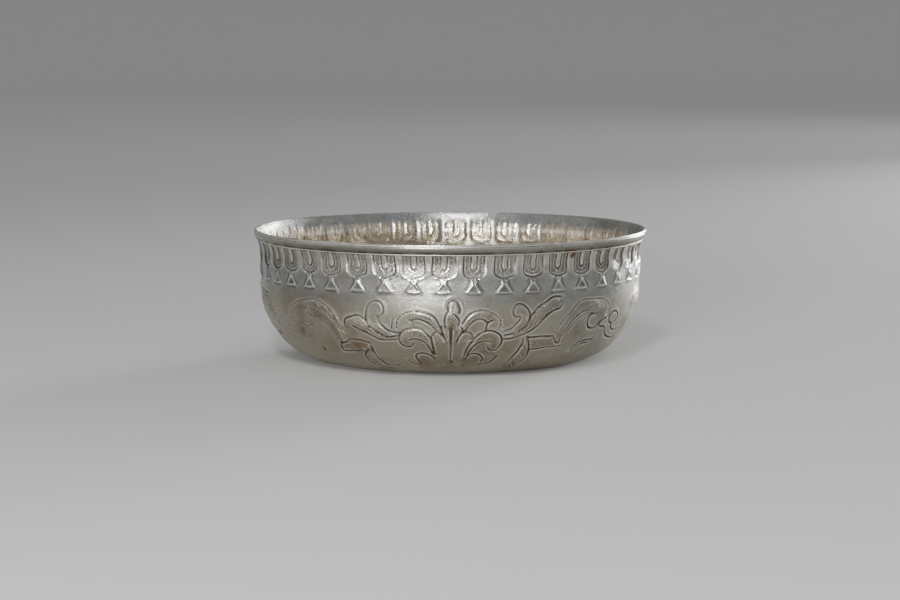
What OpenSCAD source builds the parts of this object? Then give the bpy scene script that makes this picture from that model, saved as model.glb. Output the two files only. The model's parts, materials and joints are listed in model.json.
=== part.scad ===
// Hammam bowl raised from silver sheet, with a moulded band soldered round its flared lip.
// Millimetres. +Z is up, the origin is the centre of the seat, and a palmette faces -Y.

/* [Bowl] */
// Height from the table to the top of the lip
bowl_h = 55.5; // [53:0.5:68]
// Thickness of the silver sheet
sheet = 0.9; // [0.8:0.05:1.2]
// Outside diameter of the upright wall
wall_d = 163.2; // [146:0.2:184]
// Radius of the bend from the seat into the belly
heel_r = 25; // [20:0.5:28]
// How far the flank of the belly swells out beyond the heel's bend
flank_out = 2.8; // [1.6:0.1:4]
// How far the flank rises above the centre of the heel's bend
flank_up = 7.7; // [5:0.1:8.5]

/* [Lip] */
// Height of the flared lip above the upright wall
lip_h = 9.1; // [8.6:0.1:10]
// Lean of the lip outwards, in degrees
lip_lean = 20; // [14:1:24]
// Radius of the bend from the wall into the lip
neck_r = 8; // [6:0.5:9]

/* [Rim band] */
// Height of the moulded band along the lip
band_h = 3.3; // [2.6:0.1:3.6]
// Bare strip of lip above the band
band_drop = 0.25; // [0.2:0.05:0.4]
// Thickness of the band along its two edges
band_edge = 0.45; // [0.3:0.05:0.8]
// Rise of the band's rounded face above its edges
band_crown = 0.3; // [0.1:0.05:0.6]
// Leg of the solder fillet under the band
solder_leg = 0.35; // [0.2:0.05:0.45]
// Leg of the solder fillet above the band
solder_top_leg = 0.2; // [0.1:0.05:0.2]

/* [Boss] */
// Radius at which the seat starts to rise into the boss
boss_r = 20; // [16:0.5:24]
// Height that the boss is pushed up
boss_h = 6; // [4:0.5:8]
// Radius of the bend at the foot of the boss
boss_foot_r = 6; // [4:0.5:8]

/* [Frieze] */
// Number of tongues round the wall
tongues = 42; // [30:1:44]
// Turn of the frieze about the bowl, in degrees
frieze_turn = -1.7; // [-4:0.1:4]
// Width of a tongue between its chased lines
tongue_w = 8.6; // [7:0.1:9.4]
// Height of a tongue
tongue_h = 9.2; // [8:0.1:10]
// Depth of the rounded end of a tongue
tongue_round = 3; // [2:0.1:3.4]
// Width of the narrow loop inside a tongue
loop_w = 2.6; // [2:0.1:3.5]
// Height of the narrow loop
loop_h = 6.4; // [5:0.1:6.8]
// Gap between the solder under the band and the top of the tongues
frieze_gap = 0.2; // [0.1:0.05:0.5]
// Width of a chased line
line_w = 0.8; // [0.5:0.05:1]
// Depth of a chased line
line_d = 0.3; // [0.15:0.05:0.35]
// Width of a drop at its foot
drop_w = 5.6; // [4:0.1:6]
// Height of a drop, from the middle of its bead
drop_h = 4.5; // [3.6:0.1:4.8]
// Share of a drop that is left standing inside its chased line
drop_core = 0.45; // [0.3:0.05:0.6]
// Diameter of the bead between a tongue and its drop
bead_d = 1.5; // [1:0.1:1.6]

/* [Hidden] */
$fn = 96;
arc_steps = 8;
neck_steps = 4;

wall_r = wall_d / 2;
half_sheet = sheet / 2;

// The belly is two arcs that meet smoothly: the heel, and a wider flank up to the wall.
flank_r = heel_r + (pow(flank_out, 2) + pow(flank_up, 2)) / (2 * flank_out);
flank_at = [wall_r - flank_r, heel_r + flank_up];
heel_at = [wall_r - flank_out - heel_r, heel_r];
heel_end = -atan2(flank_up, heel_at[0] - flank_at[0]);

// The lip bends out about a centre beyond the wall, then runs straight to a rounded edge.
neck_at = [wall_r + neck_r, bowl_h - lip_h];
lip_along = [sin(lip_lean), cos(lip_lean)];
lip_out = [cos(lip_lean), -sin(lip_lean)];
lip_foot = neck_at - neck_r * lip_out;
lip_run = (bowl_h - half_sheet * (1 + sin(lip_lean)) - lip_foot[1]) / cos(lip_lean);
lip_edge_at = lip_foot + lip_run * lip_along - half_sheet * lip_out;

// The boss is a dome with a bend at its foot, and both arcs lean by the same angle where they meet.
boss_lean = 2 * atan2(boss_h, boss_r);
dome_r = boss_r / sin(boss_lean) - boss_foot_r;
dome_at = [0, half_sheet + boss_h - dome_r];
boss_foot_at = [boss_r, half_sheet + boss_foot_r];

// The band's two edges, measured along the straight of the lip from its foot.
band_high = lip_run - band_drop;
band_low = band_high - band_h;
crown_r = (pow(band_h / 2, 2) + pow(band_crown, 2)) / (2 * band_crown);
crown_turn = asin(band_h / 2 / crown_r);

// Levels of the frieze, from the solder under the band down to the foot of the drops.
solder_foot = band_low - solder_leg;
frieze_z = lip_foot[1] + solder_foot * cos(lip_lean) - frieze_gap;
bead_z = frieze_z - tongue_h - line_w / 2;
frieze_foot_z = bead_z - drop_h;

// How far a chasing tool stands clear of the metal, and how far it reaches through the wall.
tool_clear = 1;
tool_reach = 7;
silver = [0.78, 0.77, 0.74];
solder = [0.7, 0.69, 0.65];

// Points along an arc, from one angle to another, both ends included.
function arc(at, radius, from, to, steps = arc_steps) = [
    for (i = [0:steps]) let (turn = from + (to - from) * i / steps) at + radius * [cos(turn), sin(turn)]
];

function reversed(points) = [for (i = [len(points) - 1:-1:0]) points[i]];

// A point on the lip: this far along its straight side, and this far out from it.
function on_lip(along, out) = lip_foot + along * lip_along + out * lip_out;

// One face of the sheet from the boss to the lip, moved in from the outer face by this much.
function sheet_face(inward) = concat(
    arc(dome_at, dome_r - half_sheet + inward, 90, 90 - boss_lean),
    arc(boss_foot_at, boss_foot_r + half_sheet - inward, -90 - boss_lean, -90),
    arc(heel_at, heel_r - inward, -90, heel_end),
    arc(flank_at, flank_r - inward, heel_end, 0),
    arc(neck_at, neck_r + inward, 180, 180 - lip_lean, neck_steps)
);

// Half of the bowl's section: boss, seat, heel, flank, wall and lip, with a rounded edge on the lip.
module sheet_section() {
    edge = arc(lip_edge_at, half_sheet, -lip_lean, 180 - lip_lean);
    polygon(concat(sheet_face(0), edge, reversed(sheet_face(sheet))));
}

// The outer skin of the wall and of the lip below the band, as deep as a chased line.
module chased_skin_section() {
    foot = frieze_foot_z - tool_clear;
    polygon(concat(
        [[wall_r + tool_clear, foot], [wall_r - line_d, foot]],
        arc(neck_at, neck_r + line_d, 180, 180 - lip_lean, neck_steps),
        [on_lip(solder_foot, -line_d), on_lip(solder_foot, tool_clear)]
    ));
}

// A hanging tongue with a rounded end, its top on the X axis.
module tongue_shape(width, height) {
    end_r = (pow(width / 2, 2) + pow(tongue_round, 2)) / (2 * tongue_round);
    translate([-width / 2, tongue_round - height]) square([width, height - tongue_round]);
    intersection() {
        translate([0, end_r - height]) circle(end_r);
        translate([-width / 2, -height]) square([width, tongue_round]);
    }
}

// A chased line round a tongue, open at the top.
module tongue_line() {
    difference() {
        tongue_shape(tongue_w + line_w, tongue_h + line_w / 2);
        translate([0, tool_clear]) tongue_shape(tongue_w - line_w, tongue_h - line_w / 2 + tool_clear);
    }
}

// A chased line round a loop with straight sides and a half-round end, its top on the X axis.
module loop_line() {
    centre = loop_w / 2 - loop_h;
    for (side = [-1, 1]) {
        translate([side * loop_w / 2 - line_w / 2, centre]) square([line_w, -centre]);
    }
    translate([0, centre]) intersection() {
        difference() {
            circle(d = loop_w + line_w);
            circle(d = loop_w - line_w);
        }
        translate([-loop_w, -loop_w]) square([2 * loop_w, loop_w]);
    }
}

// A triangle about its own centre.
module drop_shape() {
    polygon([[0, drop_h * 2 / 3], [-drop_w / 2, -drop_h / 3], [drop_w / 2, -drop_h / 3]]);
}

// A drop: a sunk bead, and a sunk triangle with a smaller one left standing in it.
module drop_lines() {
    translate([0, bead_z - frieze_z]) circle(d = bead_d);
    translate([0, bead_z - frieze_z - drop_h * 2 / 3]) difference() {
        drop_shape();
        scale(drop_core) drop_shape();
    }
}

// All the metal that is chased away in one tongue and its drop, on the +X side.
module tongue_tool() {
    pitch = 360 / tongues;
    intersection() {
        rotate([0, 0, -pitch / 2]) rotate_extrude(angle = pitch) chased_skin_section();
        translate([wall_r - tool_reach / 2, 0, frieze_z]) rotate([90, 0, 90]) linear_extrude(tool_reach) {
            tongue_line();
            loop_line();
            drop_lines();
        }
    }
}

module bowl_body() {
    color(silver) difference() {
        rotate_extrude() sheet_section();
        for (i = [0:tongues - 1]) {
            rotate([0, 0, -90 + frieze_turn + i * 360 / tongues]) tongue_tool();
        }
    }
}

// The band lies against the outside of the lip and has a rounded face.
module rim_band() {
    crown_at = on_lip((band_low + band_high) / 2, band_edge + band_crown - crown_r);
    color(silver) rotate_extrude() polygon(concat(
        [on_lip(band_high, 0), on_lip(band_low, 0)],
        arc(crown_at, crown_r, -lip_lean - crown_turn, -lip_lean + crown_turn)
    ));
}

// One fillet of solder in the corner between the lip and an edge of the band.
module solder_fillet(edge, leg, way) {
    polygon([on_lip(edge, 0), on_lip(edge, leg), on_lip(edge + way * leg, 0)]);
}

module rim_solder() {
    color(solder) rotate_extrude() {
        solder_fillet(band_low, solder_leg, -1);
        solder_fillet(band_high, solder_top_leg, 1);
    }
}

bowl_body();
rim_band();
rim_solder();
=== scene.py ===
"""Looks of a silver hammam bowl: the chased sheet, the band round its lip, the solder, and the studio."""

import json
import math

import bpy
import numpy as np
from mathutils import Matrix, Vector, geometry, kdtree

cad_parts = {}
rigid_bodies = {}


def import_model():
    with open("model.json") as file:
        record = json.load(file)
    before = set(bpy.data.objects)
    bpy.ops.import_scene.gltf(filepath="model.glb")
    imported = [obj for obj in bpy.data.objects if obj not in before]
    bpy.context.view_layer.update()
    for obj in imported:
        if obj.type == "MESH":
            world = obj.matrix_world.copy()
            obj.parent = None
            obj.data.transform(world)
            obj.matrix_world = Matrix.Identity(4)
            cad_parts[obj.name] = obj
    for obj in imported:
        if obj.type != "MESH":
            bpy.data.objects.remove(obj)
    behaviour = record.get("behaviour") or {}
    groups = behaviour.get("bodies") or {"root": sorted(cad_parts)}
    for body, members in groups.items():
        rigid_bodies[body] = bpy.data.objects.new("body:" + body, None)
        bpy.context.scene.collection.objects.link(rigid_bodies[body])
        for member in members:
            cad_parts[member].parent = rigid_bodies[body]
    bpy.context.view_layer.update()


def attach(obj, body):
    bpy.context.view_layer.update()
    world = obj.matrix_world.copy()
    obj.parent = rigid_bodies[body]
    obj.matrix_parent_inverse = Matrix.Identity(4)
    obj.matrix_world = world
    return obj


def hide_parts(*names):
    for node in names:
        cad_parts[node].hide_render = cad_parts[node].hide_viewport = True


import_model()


# Bowl body: one round of silver sheet, raised with hammers into seat, belly, wall and flared lip.
# The boss is pushed up in its base. The frieze and the garland are chased from outside with tracers
# and punches, so every line also shows inside as a soft ridge. Lengths are millimetres.
sheet = 0.9
half_sheet = sheet / 2
wall_r = 81.6
heel_r = 25.0
flank_out = 2.8
flank_up = 7.7
neck_z = 46.4
neck_r = 8.0
lip_lean = 20.0
lip_run = 6.131
boss_r = 20.0
boss_h = 6.0
boss_foot_r = 6.0

boss_lean = 2 * math.degrees(math.atan2(boss_h, boss_r))
dome_r = boss_r / math.sin(math.radians(boss_lean)) - boss_foot_r
seat_r = wall_r - flank_out - heel_r
flank_r = heel_r + (flank_out**2 + flank_up**2) / (2 * flank_out)
flank_at = (wall_r - flank_r, heel_r + flank_up)
heel_end = -math.degrees(math.atan2(flank_up, seat_r - flank_at[0]))
lip_along = np.array([math.sin(math.radians(lip_lean)), math.cos(math.radians(lip_lean))])
lip_out = np.array([lip_along[1], -lip_along[0]])
lip_foot = np.array([wall_r + neck_r, neck_z]) - neck_r * lip_out
lip_top = lip_foot + lip_run * lip_along


def arc(centre_r, centre_z, radius, start, end, steps=80):
    """Points along an arc of the section, from one angle to another in degrees."""
    turn = np.radians(np.linspace(start, end, steps + 1))
    return np.stack([centre_r + radius * np.cos(turn), centre_z + radius * np.sin(turn)], axis=1)


# The outer face from the middle of the base to the lip. Rise is the way along it from the seat's edge.
outer_face = np.concatenate([
    arc(0, half_sheet + boss_h - dome_r, dome_r - half_sheet, 90, 90 - boss_lean),
    arc(boss_r, half_sheet + boss_foot_r, boss_foot_r + half_sheet, -90 - boss_lean, -90),
    arc(seat_r, heel_r, heel_r, -90, heel_end),
    arc(flank_at[0], flank_at[1], flank_r, heel_end, 0),
    arc(wall_r + neck_r, neck_z, neck_r, 180, 180 - lip_lean),
    [lip_top],
])
least_step = 1e-6
face_steps = np.hypot(*np.diff(outer_face, axis=0).T)
outer_face = outer_face[np.concatenate([[True], face_steps > least_step])]
face_r = outer_face[:, 0]
face_z = outer_face[:, 1]
face_steps = np.hypot(*np.diff(outer_face, axis=0).T)
face_rise = np.concatenate([[0], np.cumsum(face_steps)])
face_rise -= face_rise[np.argmin(np.hypot(face_r - seat_r, face_z))]
lip_rise = face_rise[-1]
pole_rise = face_rise[0]
slope = np.stack([np.gradient(face_z, face_rise), -np.gradient(face_r, face_rise)], axis=1)
slope /= np.linalg.norm(slope, axis=1)[:, None]

# A flat disc on which small figures keep their shape, for laying triangles over the bowl.
disc_growth = face_steps[1:] * 2 / (face_r[1:-1] + face_r[2:])
disc_r = np.concatenate([[0], face_r[1] * np.exp(np.concatenate([[0], np.cumsum(disc_growth)]))])


def radius_at(rise):
    """Radius of the outer face at a rise."""
    return np.interp(rise, face_rise, face_r)


def on_bowl(points, out):
    """Places of points in angle from the front and rise, moved out along the outer face's normal."""
    angle, rise = points.T
    r = radius_at(rise) + out * np.interp(rise, face_rise, slope[:, 0])
    z = np.interp(rise, face_rise, face_z) + out * np.interp(rise, face_rise, slope[:, 1])
    return np.stack([r * np.sin(angle), -r * np.cos(angle), z], axis=-1)


span_cuts = 16


def even_line(points, step):
    """A smooth line through points in degrees and rise, cut into steps of this length."""
    knots = np.array(points, float)
    ends = np.concatenate([[2 * knots[0] - knots[1]], knots, [2 * knots[-1] - knots[-2]]])
    t = np.linspace(0, 1, span_cuts, endpoint=False)[:, None]
    spans = []
    for a, b, c, d in zip(ends, ends[1:], ends[2:], ends[3:]):
        bend = (2 * a - 5 * b + 4 * c - d) * t**2 + (3 * b - a - 3 * c + d) * t**3
        spans.append(b + ((c - a) * t + bend) / 2)
    curve = np.concatenate(spans + [knots[-1:]])
    run = np.radians(np.diff(curve[:, 0])) * radius_at((curve[1:, 1] + curve[:-1, 1]) / 2)
    length = np.concatenate([[0], np.cumsum(np.hypot(run, np.diff(curve[:, 1])))])
    at = np.linspace(0, length[-1], max(2, round(length[-1] / step)) + 1)
    return np.stack([np.interp(at, length, curve[:, 0]), np.interp(at, length, curve[:, 1])], axis=1)


# Every chased line is kept as close steps along it, with its half width and its depth at each step.
# A line with a depth below zero stands proud. The hand wanders slowly and presses unevenly, and a
# punched line goes from blow to blow.
hand = np.random.default_rng(42)
step = 0.125
any_phase = 6.3
wander_beat = (0.35, 0.6)
press_beat = (0.7, 1.1)
press_share = 0.16
end_press = 0.55
end_rate = 6
blow_gap = 1.7
blow_share = 0.3
traced = {"angle": [], "rise": [], "half_width": [], "depth": [], "turn": []}


def trace(points, half_width, depth, taper=1.0, punched=False, wander=0.1, about=0.0):
    """Chases one line through points in degrees and rise, about a middle angle in degrees."""
    line = even_line(points, step)
    count = len(line)
    share = np.linspace(0, 1, count)
    local_r = radius_at(line[:, 1])
    for axis, scale in ((0, np.degrees(1 / local_r)), (1, 1.0)):
        beat = count * step * hand.uniform(*wander_beat)
        line[:, axis] += wander * scale * np.sin(share * beat + hand.uniform(0, any_phase))
    run = np.gradient(np.radians(line[:, 0])) * local_r
    climb = np.gradient(line[:, 1])
    lift = np.minimum(1, end_press + end_rate * np.minimum(share, 1 - share))
    pressing = share * count * step * hand.uniform(*press_beat) + hand.uniform(0, any_phase)
    lift *= 1 + press_share * np.sin(pressing)
    width = half_width * (1 + (taper - 1) * share)
    blows = 1 - blow_share + blow_share * np.cos(np.arange(count) * step * 2 * np.pi / blow_gap)
    beats = np.where(punched, blows, 1.0)
    traced["angle"].append(np.radians(line[:, 0] + about))
    traced["rise"].append(line[:, 1])
    traced["half_width"].append(width * beats)
    traced["depth"].append(depth * lift * beats)
    traced["turn"].append(np.arctan2(climb, run))


# The frieze: tongues with a narrow loop in each, and a bead and a drop hanging from its end.
# Its sizes are half widths across a tongue and lengths down from the tongue's top.
tongues = 42
pitch = 360 / tongues
frieze_turn = -1.7
frieze_rise = 66.0
line_start = 0.1
tongue_half = 4.3
tongue_mid = 3
tongue_side = 6.9
tongue_end = 9.2
shoulder_half = (2.9, 3.4)
shoulder_at = 8.35
loop_half = 1.22
loop_mid = 2.6
loop_side = 5.1
loop_end = 6.4
neck_half = 0.95
neck_gap = 0.3
bead_at = 10.2
bead_half = 0.92
bead_reach = 0.06
waist_half = 0.6
skirt_half = 0.9
skirt_gap = 0.9
drop_top = 11.1
drop_foot = 14.8
drop_half = 2.8
hem_sag = 0.3

# Half width and depth of its lines. The neck and the drop stand proud.
outline_cut = (0.42, 0.32)
loop_cut = (0.42, 0.29)
bead_cut = (0.27, 0.36)
proud_half = 0.25
neck_proud = 0.2
drop_proud = (0.16, 0.26)

# Each tongue's own unevenness, the tarnish in its drop, and the painted dark reflection with patina in the
# hollow beside its end. Its drop comes in over the first few millimetres.
settle = 6
tongue_shift = hand.normal(0, 0.2, tongues)
tongue_drop = hand.normal(0, 0.2, tongues)
tongue_lean = hand.normal(0, 0.014, tongues)
tongue_scale = hand.normal(1, 0.03, tongues)
hollow_patina_and_dark_reflection = hand.uniform(0, 0.28, tongues)
drop_tarnish = hand.uniform(0, 0.45, tongues)


def chase(i, points, half_width, depth, wander=0.0):
    """Chases one line of tongue i through points across it and down from its top."""
    line = []
    for x, t in points:
        across = x * tongue_scale[i] + tongue_shift[i] + t * tongue_lean[i]
        drop = tongue_drop[i] * min(1, t / settle)
        line.append((math.degrees(across / wall_r), frieze_rise - t - drop))
    trace(line, half_width, depth, wander=wander, about=frieze_turn + i * pitch)


for i in range(tongues):
    shoulder = hand.uniform(*shoulder_half)
    side = [(-tongue_half, t) for t in (line_start, tongue_mid, tongue_side)]
    foot = [(-shoulder, shoulder_at), (0, tongue_end), (shoulder, shoulder_at)]
    chase(i, side + foot + [(-x, t) for x, t in reversed(side)], *outline_cut, wander=0.08)
    side = [(-loop_half, t) for t in (line_start, loop_mid, loop_side)]
    chase(i, side + [(0, loop_end)] + [(-x, t) for x, t in reversed(side)], *loop_cut, wander=0.07)
    chase(i, [(0, bead_at - bead_reach), (0, bead_at + bead_reach)], *bead_cut)
    for way in (-1, 1):
        neck = [(neck_half, tongue_end + neck_gap), (bead_half, bead_at), (waist_half, drop_top)]
        neck += [(skirt_half, drop_top + skirt_gap)]
        chase(i, [(way * x, t) for x, t in neck], proud_half, -neck_proud)
        slant = [(0, drop_top), (way * drop_half, drop_foot)]
        chase(i, slant, proud_half, -hand.uniform(*drop_proud), wander=0.05)
    sag = hand.uniform(0.0, hem_sag)
    hem = [(-drop_half, drop_foot), (0, drop_foot + sag), (drop_half, drop_foot)]
    chase(i, hem, proud_half, -hand.uniform(*drop_proud), wander=0.05)

# The garland, drawn three times round the belly: a palmette between two arching leaf scrolls.
# Each line is in degrees from the palmette's middle and millimetres of rise.
garland = {
    "bud_tip": [
        (2.5, 42.8), (2.7, 44.2), (2.4, 45.8), (1.8, 47.4), (0.9, 48), (-0.1, 47.4), (-0.5, 45.8),
        (-0.5, 44.4), (-0.4, 43.5),
    ],
    "bud_left": [(-1.5, 37.2), (-1.6, 39.2), (-1.4, 40.9), (-1, 42.5), (-0.3, 43.4)],
    "bud_right": [(0.9, 42.8), (1.9, 41.6), (2.5, 40.1), (2.6, 38.9), (2.3, 37.7)],
    "calyx_left": [(-2.5, 37.4), (-2.5, 35.9), (-2.2, 34.1), (-1.8, 32.8), (-1.4, 31.4)],
    "calyx_right": [(3.1, 37.4), (3.6, 35.9), (3.4, 34.6), (2.8, 33.1), (2.2, 31.4), (2, 30)],
    "small_left": [(-5.4, 29.2), (-5.5, 31.4), (-5, 33.5), (-4.1, 34.6), (-3, 34.3), (-2.2, 33)],
    "small_left_vein": [(-4.6, 33), (-4.2, 31.6), (-3.9, 30)],
    "small_right": [(2.1, 31), (2.8, 33.1), (3.6, 34.2), (4.7, 34.6), (6, 34.2), (6.6, 33), (6.7, 31.6)],
    "small_right_vein": [(4.4, 29.8), (5.3, 31.4), (6.2, 31.8)],
    "upper_left": [(-2.9, 37.2), (-3.6, 39.4), (-4.8, 41.4), (-6.6, 42.8), (-8.3, 43.4), (-10, 43.6)],
    "upper_left_dots": [
        (-10, 43.6), (-11.6, 43.3), (-13.2, 42.2), (-14.6, 40.5), (-15.4, 38.6), (-15.7, 35.6),
    ],
    "upper_left_in": [(-3.9, 35.4), (-5, 37.2), (-6.6, 39), (-8.4, 40), (-9.9, 40.2), (-11.2, 39.4)],
    "upper_left_notch": [(-11.9, 40), (-10.9, 38.7), (-10.5, 36.8)],
    "upper_right": [(3.4, 38), (4.2, 39.9), (5.1, 41.5), (6.4, 42.9), (7.9, 43.7), (9.5, 44), (11, 43.5)],
    "upper_right_dots": [(11, 43.5), (12.5, 42.5), (13.9, 41), (14.6, 39.6), (14.8, 37.8), (14.5, 36.2)],
    "upper_right_in": [
        (4.4, 34.8), (4.9, 36.4), (5.8, 38.4), (7.1, 39.8), (8.4, 40.2), (9.7, 39.9), (10.6, 39),
    ],
    "upper_right_notch": [(12, 39.6), (10.9, 38.4), (10.5, 37), (10.5, 35.7)],
    "curl_left": [
        (-4.6, 24), (-5.2, 28), (-5.5, 31.4), (-6.3, 33.2), (-7.2, 34.5), (-8.2, 35.8), (-9.7, 36.3),
        (-11.2, 36.2), (-12.7, 35.9), (-14, 34.8), (-14.8, 33.2), (-15.1, 31.6), (-15, 29.6), (-14.2, 28.2),
        (-13.2, 27.6), (-11.9, 27.9), (-11, 29.2),
    ],
    "curl_left_in": [
        (-5.1, 23.5), (-5.7, 25.6), (-6.5, 28), (-7.4, 29.7), (-9.1, 31.3), (-10.4, 31.7), (-11.8, 31.2),
    ],
    "curl_right": [
        (4.3, 23.3), (4.9, 26.2), (5.6, 28), (6.3, 29.7), (7.5, 32.4), (8.6, 34), (10.1, 34.9),
        (11.6, 35.1), (13.2, 34.6), (14.7, 33.2), (15.4, 31.3), (15.4, 29), (14.9, 27), (14, 25.8),
        (12.7, 25.8), (11.7, 26.6), (11.3, 27.9),
    ],
    "curl_right_in": [
        (5.2, 21.7), (5.8, 24.9), (6.7, 27.4), (7.8, 29.4), (9, 30.3), (10.5, 30.6), (11.7, 30.2),
    ],
    "third_left": [
        (-5.2, 22), (-6.2, 23.3), (-7.4, 23.9), (-8.9, 24.1), (-10.4, 23.5), (-10.9, 21.8), (-10.3, 20),
        (-9.5, 17.6),
    ],
    "third_right": [(4.7, 20.9), (5.7, 23), (7.1, 24), (8.7, 23.9), (9.8, 22.5), (10.3, 20.7), (9.9, 18.4)],
    "foot_left": [(-1.3, 18.3), (-2.6, 17), (-4, 16.5)],
    "foot_right": [(1.3, 18.3), (2.6, 17), (4, 16.5)],
    "foot_curl_left": [(-10.2, 16.8), (-12, 17.2), (-13.2, 18.6), (-13.8, 20.4)],
    "foot_curl_right": [(10.5, 17.5), (12.4, 17.9), (13.4, 19), (14.3, 20.9)],
    "hook_left": [
        (-15.1, 34.2), (-17.2, 34.4), (-18.5, 35.3), (-19.6, 36.6), (-20.6, 38), (-21.3, 39.8), (-21.4, 41),
        (-20.4, 41.1), (-19.4, 42.2), (-19.2, 43.6), (-19.5, 45.5), (-20.4, 46.9), (-21.8, 47.3),
        (-23.4, 46.2), (-24.3, 44), (-24.8, 41.6), (-25, 39.6), (-24.8, 37.9), (-23.8, 36.2), (-22.7, 34.8),
        (-21.2, 33.3), (-19.5, 32.2), (-17.8, 32.1), (-15.4, 32.5),
    ],
    "hook_right": [
        (16.1, 35), (17.8, 35.8), (19.1, 37.3), (20.1, 38.7), (20.7, 40.4), (20.1, 41), (19.3, 40.8),
        (18.5, 41.5), (18.2, 42.7), (18.4, 44.4), (19.3, 46), (20.8, 45.9), (22.1, 44.6), (23, 43.1),
        (23.4, 41.4), (23.2, 39.8), (23, 38.1), (22.3, 36.4), (21.1, 35.2), (19.4, 34), (17.7, 33.3),
        (16.1, 32.9),
    ],
    "outward_left": [
        (-15.3, 31.1), (-17.5, 30.6), (-19.4, 30.5), (-21.5, 30.9), (-23.6, 32.1), (-25.5, 33.5),
        (-27.6, 34.9), (-29.5, 36.5), (-31, 37.1),
    ],
    "outward_left_top": [
        (-24, 36.2), (-24.9, 38.2), (-25.7, 39.6), (-26.7, 40.7), (-28, 40.9), (-29.6, 40.2), (-31.6, 39.2),
        (-32.3, 37.5), (-32, 36),
    ],
    "outward_right": [
        (16.3, 31.2), (18.7, 31.4), (20.9, 32.3), (22.8, 33.4), (24.3, 34.6), (25.5, 35.8), (26.6, 37.2),
        (27.8, 38.9), (28.9, 40.5), (30.2, 41.8), (31.5, 42.9), (32.9, 43.4), (33.5, 44.7),
    ],
    "outward_right_top": [
        (23.2, 38), (23.7, 40), (24.5, 42.1), (25.7, 44.1), (27.1, 45.4), (28.8, 46.7), (29.9, 47.8),
        (31.5, 48.5), (33.7, 48.2),
    ],
    "bar_left": [(-31.4, 29.8), (-28.5, 29.7), (-26.8, 29.3), (-25.3, 28.6)],
    "bar_left_foot": [(-36.2, 23.2), (-34, 23.3), (-31.4, 23.9), (-29, 24.2), (-27.7, 23.7)],
    "bar_left_notch": [
        (-31.6, 30), (-33, 28.4), (-34.6, 27.8), (-35.2, 28.6), (-35.8, 25.5), (-36.1, 23.4),
    ],
    "bar_right": [(23.7, 31.5), (27.7, 31.4), (31.9, 31.4)],
    "bar_right_foot": [(25.4, 25.2), (28.2, 25.2), (31, 25.8), (36.2, 25.9)],
    "bar_right_end": [(24, 30), (24.4, 28), (24.9, 26)],
    "bar_right_notch": [(32.3, 31.4), (33.1, 29.7), (34.4, 27.9), (35.2, 28.4), (35.3, 31)],
    "slant_left": [
        (-25.2, 27.4), (-24.6, 26), (-24.4, 23.7), (-23.9, 21.4), (-23.2, 18.9), (-22.1, 16.9),
        (-20.3, 15.9), (-18.4, 15.6),
    ],
    "slant_left_out": [
        (-25.9, 25.6), (-27.3, 23.5), (-28.1, 21.3), (-28, 19), (-27.5, 16.4), (-26.5, 14.2), (-25.5, 12.4),
    ],
    "slant_right": [(22.3, 30.3), (22.2, 28.2), (21.7, 25.9), (21.1, 23.7), (20.1, 21), (19.2, 17.7)],
    "slant_right_out": [(24.9, 26.2), (25.2, 23.3), (25.2, 21.3), (24.6, 18.7), (23.5, 15.6), (22.4, 12)],
    "arch_left": [
        (-32.4, 31.2), (-32.8, 33.1), (-33.6, 35.6), (-34.5, 37.8), (-35.6, 40.2), (-36.7, 42.2),
        (-38.1, 44), (-39.8, 45.2), (-41.4, 46), (-43.2, 46.3), (-45.4, 45.8), (-47.2, 45.3), (-50, 44.6),
        (-52.4, 43),
    ],
    "arch_left_mid": [
        (-33.7, 31.9), (-34.3, 34.3), (-35.1, 36.5), (-36.1, 38.4), (-37.4, 40.2), (-38.7, 41.8),
        (-40.2, 42.6), (-42.4, 43),
    ],
    "arch_left_in": [
        (-36.3, 24.6), (-36.7, 26.7), (-37, 29.3), (-37.4, 32), (-38.2, 34.1), (-39.6, 36), (-41.1, 37.5),
        (-42.8, 38.9), (-44.7, 39.4),
    ],
    "scroll_left": [(-45.2, 41.4), (-45.7, 40.2), (-45, 39.1), (-44, 38.2)],
    "scroll_left_leaf": [
        (-52.9, 37.2), (-51.6, 36.4), (-50.2, 35.3), (-48.8, 34.4), (-47.3, 34.2), (-45.7, 34.9),
    ],
    "scroll_left_tip": [(-52.4, 43), (-54.4, 40.6), (-55.5, 38.1), (-56.5, 36.1), (-55.3, 35)],
    "arch_right": [
        (33.2, 32.4), (33.6, 34.3), (34.2, 36.8), (35.1, 38.7), (36.2, 40.3), (37.3, 41.6), (38.7, 43.4),
        (40.4, 45.3), (43, 46.2), (46, 45.9), (48.6, 45.6), (51.3, 45.1), (53.2, 43.7), (54.7, 41.6),
        (55.3, 39.7), (54.8, 37),
    ],
    "arch_right_mid": [
        (34.9, 32), (35.9, 33.7), (36.9, 35.3), (38.3, 37.4), (40, 39.6), (41.6, 41), (43.6, 41.6),
    ],
    "arch_right_in": [
        (36, 31), (37.1, 32.4), (38.2, 34.6), (39.8, 37), (41.6, 39), (43.4, 40), (45.6, 40.2),
        (47.3, 39.6),
    ],
    "scroll_right": [
        (47.3, 39.6), (45.4, 39), (44.9, 37.4), (45.1, 35.6), (46.2, 33.6), (48.3, 32.8), (49.7, 33.5),
        (50.8, 35.6), (51.7, 38.3), (52.4, 40.1), (52.3, 42),
    ],
    "scroll_right_leaf": [(53.8, 36.8), (52.4, 36), (51, 34.3), (52.4, 33.1), (53.8, 32.9)],
    "middle_bud": [
        (57.5, 33.8), (56.2, 34.8), (55.8, 36.6), (56.6, 38.3), (58.4, 39.1), (60.2, 38.3), (61, 36.6),
        (60.4, 34.8), (59, 33.8),
    ],
    "middle_stem": [(57.9, 33.7), (58.5, 32.1), (60.2, 30.6), (62.4, 29.8), (64.4, 30.2)],
    "middle_curl": [(54.7, 32.5), (55.9, 30.1), (57.7, 28), (60, 26.6), (63, 25.8)],
    "low_arc_left": [(-44.5, 22), (-42.9, 19.6), (-42.2, 17.1)],
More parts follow.
